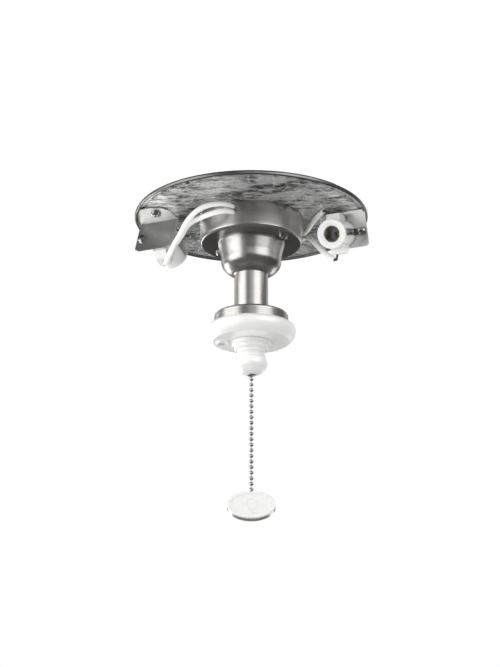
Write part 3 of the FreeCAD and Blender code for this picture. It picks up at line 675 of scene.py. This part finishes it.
class Repeater:
    """A Geometry Nodes group that sets out copies of a shape in a row, such as beads or thread ridges."""

    def __init__(self, name: str) -> None:
        """Build the group.

        Args:
            name: The group's name.
        """
        self.group = bpy.data.node_groups.new(name, "GeometryNodeTree")
        face = self.group.interface
        self.ids: dict[str, str] = {}
        for label, kind in (("Shape", "NodeSocketObject"), ("Count", "NodeSocketInt"),
                            ("Start", "NodeSocketVector"), ("Step", "NodeSocketVector"),
                            ("Material", "NodeSocketMaterial")):
            self.ids[label] = face.new_socket(label, in_out="INPUT", socket_type=kind).identifier
        face.new_socket("Geometry", in_out="OUTPUT", socket_type="NodeSocketGeometry")
        nodes, links = self.group.nodes, self.group.links
        source, end = nodes.new("NodeGroupInput"), nodes.new("NodeGroupOutput")
        row, shape = nodes.new("GeometryNodeMeshLine"), nodes.new("GeometryNodeObjectInfo")
        copies, real = nodes.new("GeometryNodeInstanceOnPoints"), nodes.new("GeometryNodeRealizeInstances")
        smooth, paint = nodes.new("GeometryNodeSetShadeSmooth"), nodes.new("GeometryNodeSetMaterial")
        links.new(source.outputs["Count"], row.inputs["Count"])
        links.new(source.outputs["Start"], row.inputs["Start Location"])
        links.new(source.outputs["Step"], row.inputs["Offset"])
        links.new(source.outputs["Shape"], shape.inputs["Object"])
        links.new(row.outputs["Mesh"], copies.inputs["Points"])
        links.new(shape.outputs["Geometry"], copies.inputs["Instance"])
        links.new(copies.outputs["Instances"], real.inputs["Geometry"])
        links.new(real.outputs["Geometry"], smooth.inputs["Geometry"])
        links.new(smooth.outputs["Geometry"], paint.inputs["Geometry"])
        links.new(source.outputs["Material"], paint.inputs["Material"])
        links.new(paint.outputs["Geometry"], end.inputs["Geometry"])

    def row(self, name: str, shape: bpy.types.Object, count: int, start: Point, step: Point,
            finish: Finish) -> bpy.types.Object:
        """Set out copies of a shape in a row.

        Args:
            name: The piece's name.
            shape: The shape to copy, which is used up.
            count: The number of copies.
            start: The first copy's place.
            step: The distance to the next.
            finish: The finish.

        Returns:
            The row, as a plain mesh piece.
        """
        holder = bpy.data.objects.new(name, bpy.data.meshes.new(name))
        bpy.context.scene.collection.objects.link(holder)
        modifier = holder.modifiers.new("row", "NODES")
        modifier.node_group = self.group
        values = {"Shape": shape, "Count": count, "Start": start, "Step": step, "Material": finish.material()}
        for label, value in values.items():
            modifier[self.ids[label]] = value
        bpy.context.view_layer.update()
        mesh = bpy.data.meshes.new_from_object(holder.evaluated_get(bpy.context.evaluated_depsgraph_get()))
        holder.modifiers.clear()
        holder.data = mesh
        bpy.data.objects.remove(shape)
        return holder


def merge(name: str, pieces: Sequence[bpy.types.Object]) -> bpy.types.Object:
    """Join pieces into one mesh piece.

    Args:
        name: The joined piece's name.
        pieces: The pieces, which are used up.

    Returns:
        The joined piece.
    """
    first = pieces[0]
    with bpy.context.temp_override(active_object=first, object=first, selected_objects=list(pieces),
                                   selected_editable_objects=list(pieces)):
        bpy.ops.object.join()
    first.name = name
    return first


# ---------------------------------------------------------------- sub-assemblies

@dataclass
class Lining:
    """The fibre mat and the crinkled foil on the pan's underside."""

    mat_top: float = -0.8 * MM
    mat_thickness: float = 1.0 * MM
    foil_thickness: float = 0.12 * MM
    inner: float = 39.6 * MM
    outer: float = 83.4 * MM
    crinkle: float = 1.05 * MM
    spare: float = 1.5 * MM
    mat_inset: float = 2.2 * MM
    mat_hole_gap: float = 0.3 * MM
    rows: int = 60
    steps: int = 480
    flanges: tuple[tuple[float, float], ...] = ((-63.0 * MM, -9.0 * MM), (63.0 * MM, 3.0 * MM))
    flange_reach: float = 24.0 * MM

    def edge(self, angle: float) -> float:
        """Find the foil's outer edge, which was cut by hand.

        Args:
            angle: The angle round the pan.

        Returns:
            The edge's radius.
        """
        x, y = math.cos(angle), math.sin(angle)
        slow = noise.noise(Vector((x * 2.3, y * 2.3, 0.4)))
        quick = noise.noise(Vector((x * 13.0, y * 13.0, 1.7)))
        return self.outer + 0.9 * MM * slow + 0.5 * MM * quick

    @staticmethod
    def cells(where: Vector) -> list[float]:
        """Return a point's distances to the nearest points of a scattered net, the nearest first."""
        return noise.voronoi(where, distance_metric="DISTANCE", exponent=2.5)[0]

    def height(self, x: float, y: float) -> float:
        """Find the foil's crumple, in flat facets with sharp folds.

        Args:
            x: The point's place along X.
            y: The point's place along Y.

        Returns:
            The crumple, from 0 to about 1.
        """
        warp = noise.noise_vector(Vector((x * 30, y * 30, 0.2))) * 0.5
        broad = self.cells(Vector((x * 60, y * 80, 0.0)) + warp)
        small = self.cells(Vector((x * 170, y * 230, 4.1)) + warp)
        fold = 1.0 - min(1.0, abs(noise.noise(Vector((x * 45, y * 60, 9.0)))) * 5.0)
        return broad[0] * 0.75 + (small[1] - small[0]) * 0.3 + fold * 0.22

    def pressed(self, x: float, y: float) -> float:
        """Return how freely the foil stands at a point: it is pressed flat where a bracket is screwed on."""
        near = min(math.hypot(x - cx, y - cy) for cx, cy in self.flanges) / self.flange_reach
        return 0.25 + 0.75 * min(1.0, max(0.0, (near - 0.8) * 3.0))

    def build_foil(self) -> bpy.types.Object:
        """Build the foil sheet, with its rim turned up over the mat's edge.

        Returns:
            The foil.
        """
        low = self.mat_top - self.mat_thickness - self.foil_thickness
        turned_up = self.mat_top - 1.2 * self.foil_thickness
        top, bottom, faces = [], [], []
        for s in range(self.steps):
            angle = 2 * math.pi * s / self.steps
            rim = self.edge(angle)
            for i in range(self.rows + 1):
                r = self.inner + (rim - self.inner) * min(i, self.rows - 1) / (self.rows - 1)
                x, y = r * math.cos(angle), r * math.sin(angle)
                z = low - self.crinkle * max(0.0, self.height(x, y)) * self.pressed(x, y)
                if i == self.rows:
                    x, y, z = x * 1.002, y * 1.002, turned_up
                bottom.append((x, y, z))
                top.append((x, y, z + self.foil_thickness))
        count, total, last = self.rows + 1, len(bottom), self.rows
        for s in range(self.steps):
            here, there = s * count, (s + 1) % self.steps * count
            for i in range(self.rows):
                square = [here + i, there + i, there + i + 1, here + i + 1]
                faces.append(square)
                faces.append([total + square[k] for k in (0, 3, 2, 1)])
            faces.append([here, total + here, total + there, there])
            faces.append([here + last, there + last, total + there + last, total + here + last])
        foil = new_piece("foil", bottom + top, faces, Finish.FOIL, 30.0)
        install(foil, ROOT, Finish.FOIL, "foil_facing")
        return foil

    def build_mat(self) -> bpy.types.Object:
        """Build the fibre mat, with soft edges.

        Returns:
            The mat.
        """
        low, high = self.mat_top - self.mat_thickness, self.mat_top
        soft = self.mat_thickness * 0.3
        rim, hole = self.outer - self.mat_inset, self.inner + self.mat_hole_gap
        outline = [(hole + soft, low), (rim - soft, low), (rim, low + soft), (rim, high - soft),
                   (rim - soft, high), (hole + soft, high), (hole, high - soft), (hole, low + soft)]
        mat = new_piece("insulation_mat", *lathe(outline, 160), Finish.MAT)
        install(mat, ROOT, Finish.MAT, "insulation_pad")
        return mat

    def build(self) -> None:
        """Build both layers."""
        self.build_mat()
        self.build_foil()


@dataclass
class Pan:
    """The round pan, its threaded nipple and the fasteners on it."""

    pitch: float = 25.4 / 27 * MM
    thread_depth: float = 0.45 * MM
    radius: float = 5.14 * MM
    inner_radius: float = 4.6 * MM
    bore: float = 3.5 * MM
    top: float = 13.0 * MM
    end: float = -9.0 * MM
    rim_inside: float = 86.9 * MM

    def darken_rim(self) -> None:
        """Give the faces on the pan's rolled rim a darker material."""
        mesh = frame["nodes"]["pan"].data
        mesh.materials.append(Finish.RIM.material())
        for face in mesh.polygons:
            if math.hypot(face.center.x, face.center.y) > self.rim_inside:
                face.material_index = 1

    def build_nipple(self, repeater: Repeater) -> bpy.types.Object:
        """Build the nipple's core, and the thread on the length of it above the pan.

        Args:
            repeater: What sets out the thread's ridges.

        Returns:
            The nipple.
        """
        root = self.radius - self.thread_depth
        outline = [(self.bore, self.end), (self.inner_radius, self.end), (self.inner_radius, 0.0),
                   (root, 0.0), (root, self.top), (self.bore, self.top)]
        core = new_piece("nipple_core", *lathe(outline, 64), Finish.ZINC)
        half, sunk = self.pitch / 2, root - 0.1 * MM
        wide, narrow = half * 0.8, half * 0.2
        outline = [(sunk, -wide), (root, -wide), (self.radius, -narrow), (self.radius, narrow), (root, wide),
                   (sunk, wide)]
        ridge = new_piece("ridge", *lathe(outline, 64), Finish.ZINC)
        count = int(self.top / self.pitch)
        thread = repeater.row("nipple_thread", ridge, count, (0, 0, half), (0, 0, self.pitch), Finish.ZINC)
        return install(merge("nipple", [core, thread]), ROOT, Finish.ZINC, "pan_nipple")

    def build(self, repeater: Repeater) -> None:
        """Dress the pan and build its nipple.

        Args:
            repeater: What sets out the thread's ridges.
        """
        dress(["pan"], Finish.PAN_STEEL)
        self.darken_rim()
        dress(["pipe_nuts", "lock_washers", "drum_posts"], Finish.ZINC)
        self.build_nipple(repeater)


@dataclass
class StemStack:
    """The drum, cup, stem tube and switch cap, and the rod that clamps them."""

    def build(self) -> None:
        """Dress the stack."""
        dress(["drum", "cup", "stem_tube", "switch_cap"], Finish.NICKEL_ROUND)
        dress(["drum_screws", "stem_rod", "switch_bridge"], Finish.ZINC)


@dataclass
class SwitchHead:
    """The white ring and finial, and the pull chain switch inside them."""

    def build(self) -> None:
        """Dress the head's parts."""
        dress(["bowl_ring", "finial", "chain_bushing"], Finish.ENAMEL)
        dress(["chain_eyelet"], Finish.CHAIN)
        dress(["switch_case", "switch_cover", "drive_sleeve", "contact_rotor"], Finish.PHENOLIC)
        dress(["switch_neck", "switch_nut", "contact_bars", "contact_blades"], Finish.BRASS)
        dress(["pull_rod", "cross_pin", "return_spring"], Finish.ZINC)


@dataclass
class BeadChain:
    """The bead chain, from the bead at the finial's tip to the one that is caught in the fob."""

    bead: float = 1.6 * MM
    pitch: float = 4.18 * MM
    wire: float = 0.42 * MM
    pivot: float = -129.7 * MM
    beads_below: int = 20
    gap: float = 0.3 * MM
    dimple: float = 0.62 * MM
    dimple_depth: float = 0.16 * MM
    wire_end: float = 0.1 * MM
    wire_core: float = 0.02 * MM
    arcs: int = 11

    def ball(self) -> bpy.types.Object:
        """Turn a bead with a dimpled hole at each end.

        Returns:
            The bead.
        """
        start = math.asin(self.dimple / self.bead)
        outline = []
        for i in range(self.arcs + 1):
            turn = start + (math.pi - 2 * start) * i / self.arcs
            outline.append((self.bead * math.sin(turn), -self.bead * math.cos(turn)))
        lip, hole = self.bead * math.cos(start) - self.dimple_depth, self.wire * 0.9
        outline += [(hole, lip), (hole, -lip)]
        return new_piece("bead", *lathe(outline, 24), Finish.CHAIN)

    def rod(self, name: str, low: float, high: float) -> bpy.types.Object:
        """Turn a length of link wire.

        Args:
            name: The piece's name.
            low: The height of its lower end.
            high: The height of its upper end.

        Returns:
            The wire.
        """
        core, tip, end = self.wire_core, self.wire * 0.6, self.wire_end
        outline = [(core, low), (tip, low), (self.wire, low + end), (self.wire, high - end), (tip, high),
                   (core, high)]
        return new_piece(name, *lathe(outline, 12), Finish.CHAIN)

    def strand(self, name: str, top: float, count: int, low: float, high: float, body: str, node: str,
               repeater: Repeater) -> bpy.types.Object:
        """Build one stretch of chain.

        Args:
            name: The piece's name.
            top: The height of its first bead's centre.
            count: The number of beads.
            low: The height of its wire's lower end.
            high: The height of its wire's upper end.
            body: The body that it rides on.
            node: The CAD node that it stands for.
            repeater: What sets out the beads.

        Returns:
            The stretch of chain.
        """
        row = repeater.row(f"{name}_beads", self.ball(), count, (0, 0, top), (0, 0, -self.pitch),
                           Finish.CHAIN)
        joined = merge(name, [self.rod(f"{name}_wire", low, high), row])
        return install(joined, body, Finish.CHAIN, node)

    def build(self, repeater: Repeater) -> None:
        """Args:
            repeater: What sets out the beads.
        """
        dress(["chain_in_finial"], Finish.CHAIN)
        first, last = self.pivot - self.pitch, self.pivot - self.pitch * self.beads_below
        caught = last - self.pitch
        reach = self.bead + self.gap
        half = self.bead * 0.9
        self.strand("pivot_ball", self.pivot, 1, self.pivot - half, self.pivot + half, "chain_pivot",
                    "pivot_bead", repeater)
        below = self.strand("bead_chain", first, self.beads_below, last, self.pivot - reach, "chain",
                            "chain_below", repeater)
        end = self.strand("caught_ball", caught, 1, caught, last - reach, "fob_swivel", "caught_bead",
                          repeater)
        path = [(0.0, 0.0, self.pivot - reach)]
        path += [(0.0, 0.0, first - self.pitch * i) for i in range(self.beads_below)]
        path[0][2] - path[-1][2]


@dataclass
class Fob:
    """The oval fob: a white face in a nickel back."""

    def build(self) -> None:
        """Dress both halves."""
        dress(["fob_front"], Finish.ENAMEL)
        dress(["fob_back"], Finish.FOB_METAL)


@dataclass
class LampHolder:
    """One bracket with its porcelain candle-lamp socket."""

    side: str

    def build(self) -> None:
        """Dress this side's parts."""
        dress([f"bracket_{self.side}"], Finish.BRACKET)
        dress([f"socket_body_{self.side}"], Finish.PORCELAIN)
        dress([f"socket_contact_{self.side}"], Finish.BRASS)
        dress([f"socket_strap_{self.side}", f"socket_shell_{self.side}"], Finish.ZINC)


@dataclass
class Leads:
    """The woven lamp leads outside the drum, and the wires and wire nuts inside it."""

    outer: float = 2.0 * MM
    inner: float = 1.3 * MM
    spacing: float = 0.9 * MM

    # Each sleeve's route from inside the drum to its lamp holder, in millimetres.
    ROUTES: ClassVar[dict[str, list[Point]]] = {
        "left_upper": [
            (-12.0, -33.0, -6.2), (-16.0, -39.0, -6.2), (-24.0, -42.3, -6.5), (-34.3, -42.6, -8.6),
            (-41.7, -40.0, -12.5), (-47.8, -34.0, -17.2), (-53.3, -24.0, -24.4), (-59.7, -13.5, -30.5),
            (-65.1, -1.8, -39.2)],
        "left_lower": [
            (-12.0, -33.0, -10.7), (-16.0, -39.0, -10.9), (-23.2, -41.6, -12.5), (-30.6, -39.4, -13.8),
            (-38.1, -34.5, -14.8), (-45.0, -28.0, -15.6), (-49.5, -20.5, -17.4), (-52.4, -13.8, -20.8),
            (-56.6, -8.0, -24.3)],
        "right_upper": [
            (12.0, 33.0, -6.2), (16.5, 39.0, -6.2), (25.0, 40.5, -6.0), (35.0, 31.5, -5.6),
            (42.5, 17.0, -5.3), (46.0, 2.0, -5.0), (49.8, -12.0, -4.8), (54.6, -23.8, -4.9)],
        "right_lower": [
            (12.0, 33.0, -10.7), (16.5, 39.0, -10.9), (24.0, 39.4, -11.0), (33.5, 30.0, -11.0),
            (41.2, 14.0, -10.6), (46.0, 2.5, -17.0), (51.8, -4.5, -27.3), (57.2, -9.5, -34.9),
            (62.6, -12.2, -39.6)],
    }

    def build(self) -> None:
        """Build the sleeves and dress the wires."""
        for name, route in self.ROUTES.items():
            line = centreline(route, self.spacing)
            sleeve = tube(f"braid_{name}", line, self.outer, self.inner, Finish.BRAID)
            install(sleeve, ROOT, Finish.BRAID, f"sleeve_{name}")
            dress([f"wire_{name}"], Finish.WIRE)
        dress(["switch_lead_lamp", "switch_lead_supply"], Finish.WIRE)
        dress(["wire_nuts"], Finish.WIRE_NUT)


# ---------------------------------------------------------------- studio

@dataclass(frozen=True)
class SoftBox:
    """A square lamp that points at the fitter."""

    name: str
    azimuth: float
    elevation: float
    distance: float
    size: tuple[float, float]
    power: float

    def build(self, target: Vector) -> None:
        """Add the lamp.

        Args:
            target: The point that it faces.
        """
        lamp = bpy.data.lights.new(self.name, "AREA")
        lamp.shape = "RECTANGLE"
        lamp.size, lamp.size_y = self.size
        lamp.energy = self.power
        turn, rise = math.radians(self.azimuth), math.radians(self.elevation)
        away = Vector((math.sin(turn) * math.cos(rise), -math.cos(turn) * math.cos(rise), math.sin(rise)))
        holder = bpy.data.objects.new(self.name, lamp)
        holder.matrix_world = Matrix.Translation(target + away * self.distance) @ \
            away.to_track_quat("Z", "Y").to_matrix().to_4x4()
        bpy.context.scene.collection.objects.link(holder)


@dataclass
class Studio:
    """The floor, lamps, surroundings and camera."""

    eye: Point = (0.0, -1.1458, -0.4744)
    aim: Point = (0.0, 0.0, -0.09402)
    lens: float = 87.1
    sensor: float = 36.0
    shift: float = -0.0019
    floor_z: float = -0.62
    floor_half: float = 1.1
    ambient: float = 0.77

    LAMPS: ClassVar[tuple[SoftBox, ...]] = (
        SoftBox("left_bank", -66, 3, 1.3, (1.35, 1.3), 11.0),
        SoftBox("right_bank", 42, 18, 1.3, (1.1, 0.8), 5.2),
        SoftBox("back_left", -132, 14, 1.3, (0.5, 0.8), 0.9),
        SoftBox("back_right", 140, 14, 1.3, (0.45, 0.8), 0.8),
        SoftBox("low_left", -138, -17, 1.3, (0.9, 0.24), 4.2),
        SoftBox("low_right", 150, -17, 1.3, (0.5, 0.22), 1.0),
        SoftBox("front", 2, 24, 1.5, (0.6, 0.6), 0.6),
    )
    # What reflections see with no lamp in them: grey by height, from straight down at 0 to straight up at 1.
    MIRRORED: ClassVar[tuple[tuple[float, float], ...]] = (
        (0.0, 0.02), (0.36, 0.03), (0.6, 0.2), (0.74, 0.14), (0.9, 0.03))

    def build_floor(self) -> None:
        """Add the pale floor."""
        half = self.floor_half
        turns = ((-half, -half), (half, -half), (half, half), (-half, half))
        corners = [(x, y, self.floor_z) for x, y in turns]
        mesh = bpy.data.meshes.new("floor")
        mesh.from_pydata(corners, [], [(0, 1, 2, 3)])
        mesh.materials.append(Finish.FLOOR.material())
        floor = bpy.data.objects.new("floor", mesh)
        bpy.context.scene.collection.objects.link(floor)

    def build_world(self) -> None:
        """Make the surroundings white to the eye, pale to plain surfaces, and dark in reflections."""
        world = bpy.data.worlds.new("studio")
        bpy.context.scene.world = world
        world.use_nodes = True
        tree = world.node_tree
        tree.nodes.clear()
        add, link = tree.nodes.new, tree.links.new
        place, split = add("ShaderNodeTexCoord"), add("ShaderNodeSeparateXYZ")
        rise, height = add("ShaderNodeValToRGB"), add("ShaderNodeMapRange")
        height.inputs["From Min"].default_value = -1.0
        link(place.outputs["Generated"], split.inputs["Vector"])
        link(split.outputs["Z"], height.inputs["Value"])
        link(height.outputs["Result"], rise.inputs["Fac"])
        stops = rise.color_ramp.elements
        for _ in self.MIRRORED[2:]:
            stops.new(0.5)
        for stop, (place_up, grey) in zip(stops, self.MIRRORED):
            stop.position, stop.color = place_up, (grey, grey, grey, 1)
        mirrored, ambient, seen = (add("ShaderNodeBackground") for _ in range(3))
        link(rise.outputs["Color"], mirrored.inputs["Color"])
        ambient.inputs["Color"].default_value = (self.ambient,) * 3 + (1,)
        seen.inputs["Color"].default_value = (1, 1, 1, 1)
        path, end = add("ShaderNodeLightPath"), add("ShaderNodeOutputWorld")
        matte, whole = add("ShaderNodeMixShader"), add("ShaderNodeMixShader")
        for mix, ray, off, on in ((matte, "Is Glossy Ray", ambient, mirrored),
                                  (whole, "Is Camera Ray", matte, seen)):
            link(path.outputs[ray], mix.inputs["Fac"])
            link(off.outputs[0], mix.inputs[1])
            link(on.outputs[0], mix.inputs[2])
        link(whole.outputs["Shader"], end.inputs["Surface"])

    def build_camera(self) -> None:
        """Add the camera, below the fitter and looking up."""
        lens = bpy.data.cameras.new("camera")
        lens.sensor_fit = "VERTICAL"
        lens.sensor_height = self.sensor
        lens.lens = self.lens
        lens.shift_x = self.shift
        camera = bpy.data.objects.new("camera", lens)
        eye, aim = Vector(self.eye), Vector(self.aim)
        turn = (aim - eye).to_track_quat("-Z", "Y").to_matrix().to_4x4()
        camera.matrix_world = Matrix.Translation(eye) @ turn
        bpy.context.scene.collection.objects.link(camera)
        bpy.context.scene.camera = camera

    def build(self) -> None:
        """Build the studio."""
        self.build_floor()
        self.build_world()
        for lamp in self.LAMPS:
            lamp.build(Vector(self.aim))
        self.build_camera()
        bpy.context.scene.view_settings.view_transform = "Standard"


def main() -> None:
    """Build every sub-assembly, then the studio."""
    logging.basicConfig(level=logging.INFO, format="%(message)s")
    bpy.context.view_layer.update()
    repeater = Repeater("row_of_copies")
    Pan().build(repeater)
    Lining().build()
    StemStack().build()
    SwitchHead().build()
    BeadChain().build(repeater)
    Fob().build()
    for side in ("left", "right"):
        LampHolder(side).build()
    dress(["bracket_screws", "strap_screws", "strap_nuts"], Finish.ZINC)
    Leads().build()
    Studio().build()


if __name__ == "__main__":
    main()
